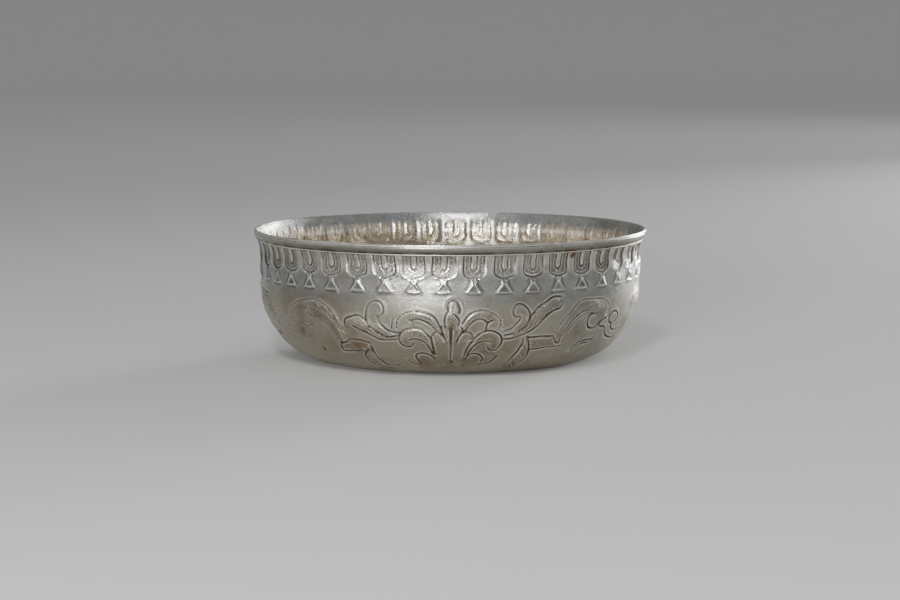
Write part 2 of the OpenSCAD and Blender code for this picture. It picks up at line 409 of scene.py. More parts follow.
    "low_arc_right": [(41.8, 22.6), (42.9, 25.1), (44.5, 26.6), (47, 27.2), (50, 27.1)],
    "low_arc_right_in": [(43.2, 22.4), (44.4, 24.4), (46.2, 25.6), (48.6, 25.9)],
}
bold_lines = ("scroll_right", "middle")
fine_lines = ("vein", "foot_left", "foot_right", "_mid")
worn_lines = ("arch_left", "scroll_left", "arch_right")
slot = [(0.3, 35.4), (0.2, 29), (0.1, 20)]
slip = [(-17.1, 36.4), (-16.9, 38), (-16.7, 39.8)]

# Half width and depth of each kind of line.
plain_cut = (0.48, 0.3)
bold_cut = (0.56, 0.36)
fine_cut = (0.32, 0.17)
worn_cut = (0.36, 0.16)
tip_cut = (0.85, 0.42)
slot_cut = (0.8, 0.42)
slip_cut = (0.36, 0.26)
hatch_cut = (0.24, 0.1)

# The last repeat's right end comes round to the left side, where it is rubbed faint.
garland_turns = (0, 120, 240)
rubbed_turn = garland_turns[-1]


def cut_of(name, about):
    """Half width and depth of one of the garland's lines, in the repeat about an angle."""
    if name == "bud_tip":
        return tip_cut
    if any(word in name for word in bold_lines):
        return worn_cut if about == rubbed_turn else bold_cut
    if any(word in name for word in fine_lines):
        return fine_cut
    if any(word in name for word in worn_lines):
        return worn_cut
    return plain_cut


# Bands of the leaves between two of their lines: these swell, and some carry strokes of hatching.
leaf_bands = []
for leaf, other, strokes in (
    ("upper", "_in", (0, 0)), ("curl", "_in", (0, 0)), ("outward", "_top", (16, 18)),
    ("slant", "_out", (13, 14)), ("arch", "_in", (0, 0)), ("arch", "_mid", (15, 12)),
    ("bar", "_foot", (0, 0)),
):
    for side, count in zip(("_left", "_right"), strokes):
        leaf_bands.append((leaf + side, leaf + side + other, count))
leaf_bands += [("bud_left", "bud_right", 0), ("calyx_left", "calyx_right", 0)]
band_steps = 60
band_step = 0.4
hatch_clear = 4
hatch_span = 50
hatch_lean = 3
hatch_jitter = (0.1, 0.9)
hatch_from = (0.18, 0.3)
hatch_to = (0.6, 0.8)
swell = {"angle": [], "rise": [], "half_width": []}


def in_band_steps(line):
    """A line cut into as many even steps as a band has."""
    at = np.linspace(0, 1, band_steps)
    own = np.linspace(0, 1, len(line))
    return np.stack([np.interp(at, own, line[:, axis]) for axis in (0, 1)], axis=1)


for about in garland_turns:
    for name, points in garland.items():
        trace(points, *cut_of(name, about), punched="dots" in name, about=about)
    trace(slot, *slot_cut, taper=0.35, wander=0.05, about=about)
    for one, other, strokes in leaf_bands:
        edge_a = even_line(garland[one], band_step)
        edge_b = even_line(garland[other], band_step)
        if np.hypot(*(edge_a[0] - edge_b[0])) > np.hypot(*(edge_a[0] - edge_b[-1])):
            edge_b = edge_b[::-1]
        side_a = in_band_steps(edge_a)
        side_b = in_band_steps(edge_b)
        middle = (side_a + side_b) / 2
        degree = np.radians(radius_at(middle[:, 1]))
        apart = (side_b - side_a) * np.stack([degree, np.ones(band_steps)], axis=1)
        swell["angle"].append(np.radians(middle[:, 0] + about))
        swell["rise"].append(middle[:, 1])
        swell["half_width"].append(np.hypot(*apart.T) / 2)
        for k in range(strokes):
            low = hatch_clear + int(hatch_span * (k + hand.uniform(*hatch_jitter)) / strokes)
            high = low + hatch_lean
            start = side_a[low] + (side_b[low] - side_a[low]) * hand.uniform(*hatch_from)
            end = side_a[high] + (side_b[high] - side_a[high]) * hand.uniform(*hatch_to)
            trace([start, end], *hatch_cut, wander=0.0, about=about)

# A slip of the tool beside the front palmette.
trace(slip, *slip_cut, wander=0.0)

lines = {name: np.concatenate(parts) for name, parts in traced.items()}
bands = {name: np.concatenate(parts) for name, parts in swell.items()}


def nearest(tree_points, points):
    """Index of the nearest tree point to each point, and the distance to it."""
    tree = kdtree.KDTree(len(tree_points))
    for index, place in enumerate(tree_points):
        tree.insert(place, index)
    tree.balance()
    found = [tree.find(place)[1:] for place in points]
    return np.array([f[0] for f in found]), np.array([f[1] for f in found])


line_points = np.stack([lines["angle"], lines["rise"]], axis=1)
line_places = on_bowl(line_points, 0)
band_places = on_bowl(np.stack([bands["angle"], bands["rise"]], axis=1), 0)


def spread(points, cell):
    """One point of those that share a cell of this size, so that crossing lines do not crowd the mesh."""
    cells = np.round(on_bowl(points, 0) / cell).astype(int)
    kept = np.unique(cells, axis=0, return_index=True)[1]
    return points[np.sort(kept)]


# Rings of points lie nearly as in a net of equal triangles, apart from a little unevenness.
row_share = 0.87
uneven = 0.12
fewest_round = 8


def rings(low, high, gap):
    """Points in rings a gap apart from one rise to another."""
    parts = []
    for k, rise in enumerate(np.linspace(low, high, max(1, round((high - low) / gap / row_share)) + 1)):
        count = max(fewest_round, round(2 * math.pi * float(radius_at(rise)) / gap))
        angle = (np.arange(count) + 0.5 * (k % 2)) * 2 * math.pi / count
        level = rise + hand.uniform(-uneven, uneven, count) * gap
        angle = angle + hand.uniform(-uneven, uneven, count) * 2 * math.pi / count
        parts.append(np.stack([angle, level], axis=1))
    return np.concatenate(parts)


# Where the rings start and end on boss, seat, heel, relief and lip, and the gaps on the plain parts.
boss_edge = boss_r - seat_r
boss_gap = 2.4
seat_clear = 2
seat_gap = 3.4
heel_low = -0.6
heel_gap = 2.0
relief_foot = 9.0
heel_high = relief_foot - 1.4
rows_top = frieze_rise + 0.4
relief_top = frieze_rise + 0.6
lip_low = frieze_rise + 1.5
lip_high = lip_rise - 0.9
lip_gap = 1.4
lip_columns = 384
lip_angle = np.arange(lip_columns) * 2 * math.pi / lip_columns

# A tracer throws up a rim on each side of its line. The rim's crest is at this share of the half width.
# A point of a row is left out where it comes nearer than its share to another line.
rim_share = 1.4
rim_foot = 0.5
crowded = 0.86


def face_points(rows, clear, gap):
    """Points for one face of the sheet: in rows along the lines, and on the metal between."""
    parts = []
    for pace, share, more, cell in rows:
        centre = line_points[::pace]
        turn = lines["turn"][::pace]
        out = share * lines["half_width"][::pace] + more
        local_r = radius_at(centre[:, 1])
        for way in (-1, 1) if share + more > 0 else (0,):
            row = centre + np.stack([-np.sin(turn) * out * way / local_r, np.cos(turn) * out * way], axis=1)
            index, apart = nearest(line_places, on_bowl(row, 0))
            reach = share * lines["half_width"][index] + more
            parts.append(spread(row[(apart >= crowded * reach) & (row[:, 1] < rows_top)], cell))
    between = np.concatenate([rings(relief_foot, relief_top, gap), rings(lip_low, lip_high, lip_gap)])
    index, apart = nearest(line_places, on_bowl(between, 0))
    share, more = rows[-1][1:3]
    between = between[apart > share * lines["half_width"][index] + more + clear]
    base = np.concatenate([
        rings(pole_rise + boss_gap, boss_edge, boss_gap),
        rings(boss_edge + seat_clear, -seat_clear, seat_gap),
        rings(heel_low, heel_high, heel_gap),
    ])
    lip_ring = np.stack([lip_angle, np.full(lip_columns, lip_rise)], axis=1)
    pole = np.array([[0.0, pole_rise]])
    return np.concatenate([lip_ring, pole] + parts + [between, base])


too_close = 1e-7


def faces_over(points):
    """Triangles that cover points on the bowl, laid on the flat disc."""
    reach = np.interp(points[:, 1], face_rise, disc_r)
    flat = np.stack([reach * np.cos(points[:, 0]), reach * np.sin(points[:, 0])], axis=1)
    found = geometry.delaunay_2d_cdt([Vector(p) for p in flat], [], [], 0, too_close)
    origin = np.array([o[0] for o in found[3]])
    return origin[np.array(found[2])]


# Slow waves that the hammers left in the metal.
wave_count = 48
wave_length = (9, 34)
hammer_depth = 0.011
waves = hand.normal(0, 1, (wave_count, 3))
waves *= (2 * math.pi / hand.uniform(*wave_length, wave_count) / np.linalg.norm(waves, axis=1))[:, None]
wave_start = hand.uniform(0, 2 * math.pi, wave_count)

# Spots where old polish and grime have browned, in degrees, rise, reach and strength.
brown_spots = (
    (-29, 26.5, 4.5, 1), (-50, 32, 5, 1), (36.8, 65, 1.3, 2.6), (11.2, 21.5, 3.2, 1), (10.4, 24, 2, 1),
    (-9, 18, 4, 1), (-42, 40, 3, 1),
)

# How far the chasing pushed each form out or in, and the depth of a line struck with full force.
rib_out = 0.3
loop_out = 0.05
halo_out = 0.34
drop_in = 0.1
ground_in = 0.2
leaf_out = 0.4
rim_out = 0.12
beside_in = 0.14
full_depth = 0.25

# Where these forms lie, how wide they are and how far they fade. The lip's own edge stays true.
frieze_top = lip_rise - 4.2
frieze_foot = 18.5
frieze_fade = (0.6, 3)
rib_end = 10.5
rib_fade = 4
loop_soft = 0.4
loop_short = 0.6
halo_half = 3.6
halo_at = 12.9
halo_long = 3.4
leaf_half = (0.5, 3.2)
ridge_half = 0.48
rim_half = 0.36
beside_at = 0.85
raised_out = (0.02, 0.1)
raised_end = 11
raised_fade = 1.5
calm = 0.4
soft = 0.5
edge_clear = 0.1
pressed_share = 0.9

# Where the metal is stippled, dulled and rubbed, where shade and dark reflection are painted beside the lines
# and in the hollows, and the shares that each form takes or keeps off. The tarnish shares include painted
# shade, and the warm share is a painted warm sheen.
leaf_stipple = 1.5
stipple_clear = 0.8
stipple_through = 0.3
shadow_at = 0.8
shadow_half = 0.4
hollow_half = 2.4
hollow_long = 2
line_shade_half = 1.3
under_top = 9
under_foot = 18
under_fade = (2, 3.5)
least_warm_sheen = 0.25
tarnish_and_shade_of = {
    "line": 1.4, "frieze": 0.25, "line_shade": 0.12, "rim": 0.15, "beside": 0.85, "ridge": 0.4, "rib": 0.2,
}
polish_of = {"rib": 0.35, "loop": 0.15, "under": 0.15, "rim": 0.55, "frieze": 0.45, "inside": 0.1}


def ease(value):
    """Goes smoothly from 0 to 1 as the value does."""
    value = np.clip(value, 0, 1)
    return value * value * (3 - 2 * value)


def near(value, reach):
    """1 at a value of 0, falling away smoothly over a reach."""
    return np.exp(-((value / reach) ** 2))


def dress(points, pressed_through):
    """How far each point stands out, and its shares of tarnish with painted shade, stipple, polish, brown and
    painted warm sheen.
    """
    places = on_bowl(points, 0)
    index, apart = nearest(line_places, places)
    width = lines["half_width"][index]
    depth = lines["depth"][index]
    waver = hammer_depth * np.sin(places @ waves.T + wave_start).sum(axis=1)

    # The frieze, by the way across the nearest tongue and down from its top.
    steps_round = (np.degrees(points[:, 0]) - frieze_turn) / pitch
    number = np.round(steps_round).astype(int) % tongues
    below = frieze_rise - points[:, 1]
    x = (steps_round - np.round(steps_round)) * math.radians(pitch) * wall_r
    x = (x - tongue_shift[number] - below * tongue_lean[number]) / tongue_scale[number]
    below = below + tongue_drop[number] * np.clip(below / settle, 0, 1)
    off = np.abs(x)
    to_rib = math.radians(pitch) * wall_r / 2 - off
    rib_half = math.radians(pitch) * wall_r / 2 - tongue_half
    frieze = ease((frieze_top - points[:, 1]) / frieze_fade[0]) * ease((frieze_foot - below) / frieze_fade[1])
    rounding = 1 - np.sqrt(np.clip(1 - (x / tongue_half) ** 2, 0, 1))
    end = tongue_end - (tongue_end - tongue_side) * rounding
    inside = ease((tongue_half - off) / soft) * ease((end - below) / soft)
    loop = ease((loop_half - off) / loop_soft) * ease((loop_end - loop_short - below) / soft)
    rib = np.clip(1 - (to_rib / rib_half) ** 2, 0, 1) * ease((rib_end - below) / rib_fade)
    halo = near(x, halo_half) * near(below - halo_at, halo_long)
    drop_reach = drop_half * (below - drop_top) / (drop_foot - drop_top)
    in_drop = ease((drop_reach - off) / soft) * ease((drop_foot - below) / soft)
    ground = frieze * inside * (1 - loop)
    form = rib_out * rib + loop_out * loop + halo_out * halo - drop_in * in_drop
    form = frieze * form - ground_in * ground

    # The leaves of the garland, by the way from the middle of the nearest band.
    band_index, from_middle = nearest(band_places, places)
    band_width = np.clip(bands["half_width"][band_index], *leaf_half)
    leaf = np.clip(1 - (from_middle / band_width) ** 2, 0, 1)
    form = form + leaf_out * leaf

    # The lines themselves: cut with thrown-up rims outside, and soft ridges inside.
    force = np.clip(depth / full_depth, 0, 1)
    crest = rim_share * width
    stipple = np.clip(ground + leaf_stipple * leaf, 0, 1) * np.clip(apart / width - stipple_clear, 0, 1)
    brown = np.zeros(len(points))
    if pressed_through:
        ridge = near(apart, ridge_half)
        out = pressed_share * form - depth * ridge + waver
        # Painted shade beside each ridge inside.
        tarnish = tarnish_and_shade_of["ridge"] * force * near(apart - shadow_at, shadow_half)
        tarnish = tarnish + tarnish_and_shade_of["rib"] * frieze * rib
        polish = frieze * (polish_of["inside"] + force * ridge)
        stipple *= stipple_through
    else:
        across = np.clip(1 - (apart / crest) ** 2, 0, 1)
        rim = force * near(apart - crest, rim_half) * (1 - calm * ground)
        raised = raised_out[0] + raised_out[1] * ease((raised_end - below) / raised_fade)
        raised = frieze * (1 - inside) * (1 - in_drop) * raised
        beside = near(apart - beside_at, rim_half) * (depth < 0) * (1 - calm * in_drop)
        out = form - depth * across + (rim_out + raised) * rim - beside_in * beside + waver
        # Painted dark reflection, with patina, in the hollows between the tongue ends.
        hollow = hollow_patina_and_dark_reflection[number] * near(to_rib, hollow_half) * near(below - rib_end, hollow_long)
        tarnish = tarnish_and_shade_of["line"] - tarnish_and_shade_of["frieze"] * frieze
        tarnish = tarnish * force * np.clip(1 - apart / crest, 0, 1)
        # Painted shade spread along each line.
        tarnish = tarnish + hollow + tarnish_and_shade_of["line_shade"] * force * near(apart, line_shade_half)
        tarnish = tarnish - tarnish_and_shade_of["rim"] * rim
        # Painted shade, with patina, in the troughs beside the raised lines.
        tarnish = tarnish + drop_tarnish[number] * frieze * in_drop + tarnish_and_shade_of["beside"] * beside
        under = ease((below - under_top) / under_fade[0]) * ease((under_foot - below) / under_fade[1])
        polish = frieze * (polish_of["rib"] * rib + polish_of["loop"] * loop) + polish_of["under"] * under
        polish = polish + rim * (polish_of["rim"] + polish_of["frieze"] * frieze)
        polish = polish + across * (depth < 0)
        for about in garland_turns:
            for angle, rise, reach, strength in brown_spots:
                turned = (np.degrees(points[:, 0]) - about - angle + 180) % 360 - 180
                away = np.hypot(np.radians(turned) * wall_r, points[:, 1] - rise)
                brown += strength * near(away, reach)
    # The tarnish share also holds painted shade, and the warm share is a painted warm sheen.
    shades = {
        "tarnish": np.maximum(tarnish, 0),
        "stipple": stipple,
        "polish": np.clip(polish, 0, 1),
        "brown": brown,
        "warm": frieze * (least_warm_sheen + (1 - least_warm_sheen) * inside),
        "inside": np.full(len(points), float(pressed_through)),
    }
    return out * (points[:, 1] < lip_rise - edge_clear), shades


# Rows along the lines: the pace in steps, the share of the half width, what is added, and the cell.
outer_rows = ((4, 0, 0, 0.24), (5, rim_share, 0, 0.26), (6, rim_share, rim_foot, 0.4))
inner_rows = ((5, 0, 0, 0.32), (6, 0, 0.55, 0.36))
outer_points = face_points(outer_rows, clear=0.36, gap=1.25)
inner_points = face_points(inner_rows, clear=0.5, gap=1.8)
outer_out, outer_shades = dress(outer_points, False)
inner_out, inner_shades = dress(inner_points, True)
outer_places = on_bowl(outer_points, outer_out)
inner_places = on_bowl(inner_points, inner_out - sheet)

# The seat stays flat, so nothing there stands below the table.
outer_places[:, 2] = np.maximum(outer_places[:, 2], 0)

# The rounded edge of the lip joins the two faces, ring by ring.
edge_rings = 7
edge_middle = lip_top - half_sheet * lip_out
edge_places = []
for turn in np.radians(np.linspace(-lip_lean, 180 - lip_lean, edge_rings + 2)[1:-1]):
    r = edge_middle[0] + half_sheet * math.cos(turn)
    z = edge_middle[1] + half_sheet * math.sin(turn)
    edge_ring = [r * np.sin(lip_angle), -r * np.cos(lip_angle), np.full(lip_columns, z)]
    edge_places.append(np.stack(edge_ring, axis=1))
edge_start = len(outer_places)
inner_start = edge_start + edge_rings * lip_columns
ring_starts = [0] + [edge_start + k * lip_columns for k in range(edge_rings)] + [inner_start]
column = np.arange(lip_columns)
after = (column + 1) % lip_columns
edge_faces = []
for low, high in zip(ring_starts, ring_starts[1:]):
    edge_faces.append(np.stack([low + column, low + after, high + after], axis=1))
    edge_faces.append(np.stack([low + column, high + after, high + column], axis=1))


def facing(places, points, way):
    """Triangles over one face of the sheet, each turned so that it looks out of the metal."""
    faces = faces_over(points)
    a, b, c = (places[faces[:, k]] for k in range(3))
    corner = points[faces[:, 0]]
    normal = on_bowl(corner, 1) - on_bowl(corner, 0)
    wrong = (np.cross(b - a, c - a) * normal).sum(axis=1) * way < 0
    faces[wrong] = faces[wrong][:, ::-1]
    return faces


mm_per_m = 1000
outer_faces = facing(outer_places, outer_points, 1)
inner_faces = facing(inner_places, inner_points, -1)
bowl_places = np.concatenate([outer_places] + edge_places + [inner_places]) / mm_per_m
bowl_faces = np.concatenate([outer_faces] + edge_faces + [inner_faces + inner_start])
bowl_mesh = bpy.data.meshes.new("bowl_body_chased")
bowl_mesh.from_pydata(bowl_places.tolist(), [], bowl_faces.tolist())
bowl_mesh.shade_smooth()
for name, shade in outer_shades.items():
    edge = np.full(edge_rings * lip_columns, 1.0 if name == "polish" else 0.0)
    layer = bowl_mesh.attributes.new(name, "FLOAT", "POINT")
    layer.data.foreach_set("value", np.concatenate([shade, edge, inner_shades[name]]).astype(np.float32))
bowl = bpy.data.objects.new("bowl_body_chased", bowl_mesh)
in_scene = bpy.context.scene.collection.objects
in_scene.link(bowl)


def new_group(name, tree_kind, inputs, outputs):
    """An empty node group with named sockets, some with a value to start from, and its two end nodes."""
    group = bpy.data.node_groups.new(name, tree_kind)
    for way, sockets in (("INPUT", inputs), ("OUTPUT", outputs)):
        for label, kind, *start in sockets:
            socket = group.interface.new_socket(label, in_out=way, socket_type="NodeSocket" + kind)
            if start:
                socket.default_value = start[0]
    return group, group.nodes.new("NodeGroupInput"), group.nodes.new("NodeGroupOutput")


def feed(tree, node, **values):
    """Sets or links a node's inputs, by name or number, and gives the node back."""
    for name, value in values.items():
        key = int(name[1:]) if name[1:].isdigit() else name.replace("_", " ")
        if isinstance(value, bpy.types.NodeSocket):
            tree.links.new(value, node.inputs[key])
        else:
            node.inputs[key].default_value = value
    return node


def add_node(tree, kind, settings=None, **values):
    """A node with its settings, and with its inputs set or linked."""
    node = tree.nodes.new(kind)
    for name, value in (settings or {}).items():
        setattr(node, name, value)
    return feed(tree, node, **values)


def reckon(tree, operation, one, two=0.0, three=0.0, clamp=False):
    """The result of a sum on values or sockets."""
    settings = {"operation": operation, "use_clamp": clamp}
    return add_node(tree, "ShaderNodeMath", settings, i0=one, i1=two, i2=three).outputs[0]


def plus(tree, base, value, share, clamp=False):
    """A base with a share of a value added to it."""
    return reckon(tree, "MULTIPLY_ADD", value, share, base, clamp)


def blend(tree, share, one, two, way="MIX"):
    """One colour laid over another by a share."""
    settings = {"data_type": "RGBA", "blend_type": way}
    return add_node(tree, "ShaderNodeMix", settings, i0=share, i6=one, i7=two).outputs[2]


def ramp(tree, value, low, high, bottom=0.0, top=1.0):
    """A value eased from one range into another."""
    node = add_node(tree, "ShaderNodeMapRange", {"interpolation_type": "SMOOTHSTEP"}, Value=value)
    return feed(tree, node, From_Min=low, From_Max=high, To_Min=bottom, To_Max=top).outputs["Result"]


def noise(tree, place, scale, detail, rough=0.5):
    """Grey noise over a place in metres."""
    node = add_node(tree, "ShaderNodeTexNoise", Vector=place, Scale=scale, Detail=detail, Roughness=rough)
    return node.outputs["Fac"]


# Worn silver: grey metal with a thin warm patina in clouds, dark tarnish where polish does not reach,
# and fine scratches from cleaning. The tarnish fed into it also carries painted shade.
worn_silver, worn_in, worn_out = new_group(
    "worn_silver",
    "ShaderNodeTree",
    [
        ("Bare Colour", "Color", (0.62, 0.61, 0.58, 1)),
        ("Patina Colour", "Color", (0.36, 0.31, 0.25, 1)),
        ("Polished Colour", "Color", (0.86, 0.84, 0.79, 1)),
        ("Tarnish Colour", "Color", (0.075, 0.062, 0.048, 1)),
        ("Patina Cover", "Float", 0.5),
        ("Tarnish", "Float", 0.0),
        ("Polish", "Float", 0.0),
        ("Satin", "Float", 0.36),
    ],
    [("Colour", "Color"), ("Roughness", "Float"), ("Height", "Float")],
)
given = worn_in.outputs
tree = worn_silver
place = add_node(tree, "ShaderNodeTexCoord").outputs["Object"]
clouds = noise(tree, place, scale=48.0, detail=6.0, rough=0.62)
mottle = noise(tree, place, scale=420.0, detail=4.0, rough=0.6)
grit = noise(tree, place, scale=1150.0, detail=3.0, rough=0.6)
wear = noise(tree, place, scale=170.0, detail=4.0, rough=0.6)
bloom = noise(tree, place, scale=21.0, detail=3.0)
streaks = []
scratch_ways = (
    ((0.3, 0.2, 0.5), (2600.0, 130.0, 2600.0)),
    ((1.1, 0.7, 2.1), (150.0, 2900.0, 2900.0)),
)
for turn, stretch in scratch_ways:
    laid = add_node(tree, "ShaderNodeMapping", Vector=place, Rotation=turn, Scale=stretch).outputs[0]
    streaks.append(ramp(tree, noise(tree, laid, scale=1.0, detail=2.0), 0.6, 0.75))
scratches = reckon(tree, "MAXIMUM", streaks[0], streaks[1])
cover = reckon(tree, "MULTIPLY", ramp(tree, clouds, 0.38, 0.72), given["Patina Cover"])
cover = plus(tree, cover, ramp(tree, mottle, 0.4, 0.7), share=0.18)
cover = plus(tree, cover, given["Polish"], share=-0.35, clamp=True)
tinted = blend(tree, cover, given["Bare Colour"], given["Patina Colour"])
cool = ramp(tree, bloom, 0.5, 0.7, 0.0, 0.35)
cool_tint = (0.80, 0.92, 1.05, 1)
tinted = blend(tree, cool, tinted, cool_tint, "MULTIPLY")
worn_off = ramp(tree, wear, 0.36, 0.58, 0.4, 1.0)
rubbed = reckon(tree, "MULTIPLY", given["Polish"], worn_off)
tinted = blend(tree, rubbed, tinted, given["Polished Colour"])
left_on = ramp(tree, wear, 0.34, 0.6, 0.4, 1.0)
dark = reckon(tree, "MULTIPLY", given["Tarnish"], left_on, clamp=True)
tinted = blend(tree, dark, tinted, given["Tarnish Colour"])
rough = plus(tree, given["Satin"], cover, share=0.16)
rough = plus(tree, rough, given["Polish"], share=-0.13)
rough = plus(tree, rough, scratches, share=0.1)
rough = plus(tree, rough, dark, share=0.25, clamp=True)
dent = plus(tree, mottle, scratches, share=-0.25)
dent = plus(tree, dent, grit, share=0.4)
feed(tree, worn_out, Colour=tinted, Roughness=rough, Height=dent)


def silver_finish(name, bare, patina, cover, satin):
    """A metal material on the worn silver group, with its tree, the group's node and the shader."""
    material = bpy.data.materials.new(name)
    material.use_nodes = True
    tree = material.node_tree
    shader = feed(tree, tree.nodes["Principled BSDF"], Metallic=1.0)
    worn = add_node(tree, "ShaderNodeGroup", {"node_tree": worn_silver})
    feed(tree, worn, Bare_Colour=bare, Patina_Colour=patina, Patina_Cover=cover, Satin=satin)
    return material, tree, worn, shader


bare_outside = (0.346, 0.322, 0.26, 1)
patina_outside = (0.2, 0.16, 0.11, 1)
bare_lip = (0.58, 0.59, 0.555, 1)
bare_inside = (0.66, 0.62, 0.54, 1)
patina_inside = (0.5, 0.44, 0.34, 1)
# A painted warm sheen on the tongues inside, over bare metal and over patina.
painted_warm_sheen = (0.98, 0.82, 0.57, 1)
warm_sheen_on_patina = (0.76, 0.59, 0.35, 1)
bare_base = (0.8, 0.765, 0.67, 1)
bare_wall = (0.318, 0.326, 0.308, 1)
brown_grime = (0.15, 0.085, 0.05, 1)
plain_cover = 0.6

# Heights in metres between which the colours and the roughness pass into each other.
base_zone = (0.005, 0.024)
belly_zone = (0.02, 0.034)
wall_foot = (0.027, 0.036)
wall_top = (0.042, 0.049)
lip_zone = (0.0502, 0.0514)
chased_silver, tree, worn, shader = silver_finish(
    "chased_silver", bare_outside, patina_outside, cover=plain_cover, satin=0.28
)
shown = {}
for name in outer_shades:
    shown[name] = add_node(tree, "ShaderNodeAttribute", {"attribute_name": name}).outputs["Fac"]
place = add_node(tree, "ShaderNodeTexCoord").outputs["Object"]
axes = add_node(tree, "ShaderNodeSeparateXYZ", Vector=place).outputs
height_up = axes["Z"]
outside = reckon(tree, "SUBTRACT", 1.0, shown["inside"])

# Punch marks, laid on the wall as if it were unrolled.
round_angle = reckon(tree, "ARCTAN2", axes["X"], reckon(tree, "MULTIPLY", axes["Y"], -1.0))
round_way = reckon(tree, "MULTIPLY", round_angle, wall_r / mm_per_m)
unrolled = add_node(tree, "ShaderNodeCombineXYZ", X=round_way, Y=height_up).outputs[0]
punches = add_node(tree, "ShaderNodeTexVoronoi", {"feature": "F1", "voronoi_dimensions": "2D"})
feed(tree, punches, Vector=unrolled, Scale=1400.0, Randomness=0.85)
punched_at = punches.outputs["Distance"]
pits = reckon(tree, "MULTIPLY", ramp(tree, punched_at, 0.14, 0.4, 1.0, 0.0), shown["stipple"])
dulled = plus(tree, shown["tarnish"], shown["stipple"], share=0.1)
feed(tree, worn, Patina_Cover=plus(tree, plain_cover, shown["stipple"], share=0.3))
feed(tree, worn, Tarnish=reckon(tree, "ADD", pits, dulled), Polish=shown["polish"])

# The metal's own colours: a grey lip and wall, and browned spots; and a painted warm sheen on the tongues
# inside.
below_lip = ramp(tree, height_up, *lip_zone, 1.0, 0.0)
inner_bare = blend(tree, shown["warm"], bare_inside, painted_warm_sheen)
inner_bare = blend(tree, ramp(tree, height_up, *base_zone), bare_base, inner_bare)
inner_bare = blend(tree, below_lip, bare_lip, inner_bare)
inner_patina = blend(tree, shown["warm"], patina_inside, warm_sheen_on_patina)
inner_patina = blend(tree, below_lip, patina_outside, inner_patina)
above_belly = ramp(tree, height_up, *wall_foot)
wall_zone = reckon(tree, "MULTIPLY", above_belly, ramp(tree, height_up, *wall_top, 1.0, 0.0))
outer_bare = blend(tree, wall_zone, bare_outside, bare_wall)
feed(tree, worn, Bare_Colour=blend(tree, shown["inside"], outer_bare, inner_bare))
feed(tree, worn, Patina_Colour=blend(tree, shown["inside"], patina_outside, inner_patina))
grime = ramp(tree, noise(tree, place, scale=190.0, detail=5.0, rough=0.65), 0.36, 0.62, 0.0, 0.75)
browned = reckon(tree, "MULTIPLY", grime, shown["brown"], clamp=True)
feed(tree, shader, Base_Color=blend(tree, browned, worn.outputs["Colour"], brown_grime))

# The belly is rougher than the wall, and the inside smoother.
smoothest = 0.16
rough = plus(tree, worn.outputs["Roughness"], shown["inside"], share=-0.07)
rough = plus(tree, rough, ramp(tree, height_up, *belly_zone, 0.15, 0.0), share=outside)
rough = plus(tree, rough, reckon(tree, "MULTIPLY", wall_zone, outside), share=-0.05)
height = plus(tree, worn.outputs["Height"], pits, share=-2.6)
bump = add_node(tree, "ShaderNodeBump", Height=height, Strength=0.6, Distance=0.00012)
feed(tree, shader, Roughness=reckon(tree, "MAXIMUM", rough, smoothest), Normal=bump.outputs["Normal"])
bowl_mesh.materials.append(chased_silver)
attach(bowl, "root")
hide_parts("bowl_body")


# Rim band: a drawn strip of silver with a rounded face, bent round the outside of the lip.
# It stiffens the edge and is held by solder. A hand-made strip is never quite even.
band_h = 3.3
band_clear = 0.25
band_low = lip_run - band_clear - band_h
band_edge = 0.45
band_crown = 0.3
crown_steps = 12
band_waver = 0.09
band_seed = 3.0
bare_band = (0.31, 0.297, 0.255, 1)
patina_band = (0.19, 0.157, 0.11, 1)


def on_lip(along, out):
    """Radius and height of a point this far along the lip's straight side and this far out from it."""
    return lip_foot + along * lip_along + out * lip_out


# A section swept once round the lip, with a slow waver from the hand that laid it.
sweep, sweep_in, sweep_out = new_group(
    "swept_round_lip",
    "GeometryNodeTree",
    [
        ("Section", "Object"), ("Steps Round", "Int"), ("Ring Radius", "Float"), ("Ring Height", "Float"),
        ("Waver", "Float"), ("Seed", "Float"), ("Finish", "Material"),
    ],
    [("Swept", "Geometry")],
)
asked = sweep_in.outputs
ring = add_node(sweep, "GeometryNodeCurvePrimitiveCircle")
feed(sweep, ring, Resolution=asked["Steps Round"], Radius=asked["Ring Radius"])
spot = add_node(sweep, "GeometryNodeInputPosition").outputs[0]
sway = add_node(sweep, "ShaderNodeTexNoise", {"noise_dimensions": "4D"}, Vector=spot, W=asked["Seed"])
sway = feed(sweep, sway, Scale=45.0, Detail=3.0).outputs["Color"]
mean_sway = (0.5, 0.5, 0.5)
vector_sum = "ShaderNodeVectorMath"
centred = add_node(sweep, vector_sum, {"operation": "SUBTRACT"}, i0=sway, i1=mean_sway).outputs[0]
swayed = add_node(sweep, vector_sum, {"operation": "SCALE"}, i0=centred, Scale=asked["Waver"]).outputs[0]
lifted = add_node(sweep, "ShaderNodeCombineXYZ", Z=asked["Ring Height"]).outputs[0]
offset = add_node(sweep, vector_sum, {"operation": "ADD"}, i0=swayed, i1=lifted).outputs[0]
placed = add_node(sweep, "GeometryNodeSetPosition", Geometry=ring.outputs["Curve"], Offset=offset).outputs[0]
section = add_node(sweep, "GeometryNodeObjectInfo", Object=asked["Section"]).outputs["Geometry"]
upright = add_node(sweep, "GeometryNodeSetCurveNormal", {"mode": "Z_UP"}, Curve=placed).outputs[0]
share = add_node(sweep, "GeometryNodeSplineParameter").outputs["Factor"]
marked = add_node(sweep, "GeometryNodeStoreNamedAttribute", {"data_type": "FLOAT", "domain": "POINT"})
marked = feed(sweep, marked, Geometry=section, Name="across", Value=share).outputs[0]
swept = add_node(sweep, "GeometryNodeCurveToMesh", Curve=upright, Profile_Curve=marked).outputs[0]
